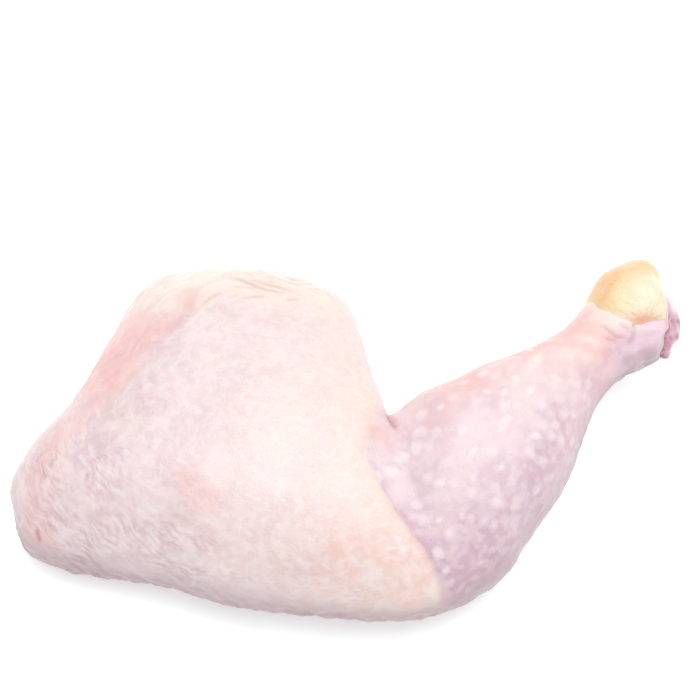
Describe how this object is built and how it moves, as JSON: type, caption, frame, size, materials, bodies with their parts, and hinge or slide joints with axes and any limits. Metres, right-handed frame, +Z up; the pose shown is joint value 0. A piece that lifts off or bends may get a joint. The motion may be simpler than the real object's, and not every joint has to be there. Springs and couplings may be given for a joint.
{
  "type": "raw chicken leg",
  "caption": "Raw chicken leg with the skin on: thigh and drumstick in one piece, bent at the knee, lying on its side with the hock raised.",
  "frame": {"origin": "middle of the leg's footprint, on the surface that it lies on", "axes": "+X from the hip end of the thigh to the hock, -Y towards the knee, +Z up"},
  "size_m": [0.19, 0.11, 0.0443],
  "materials": {
    "skin": "moist raw skin, cream and pale pink, satin",
    "hock_skin": "pale yellow scaly shank skin, matte",
    "joint": "cut joint end and its loose skin, pale lilac, moist"
  },
  "bodies": {
    "root": {"chicken_leg": "skin"}
  },
  "joints": []
}
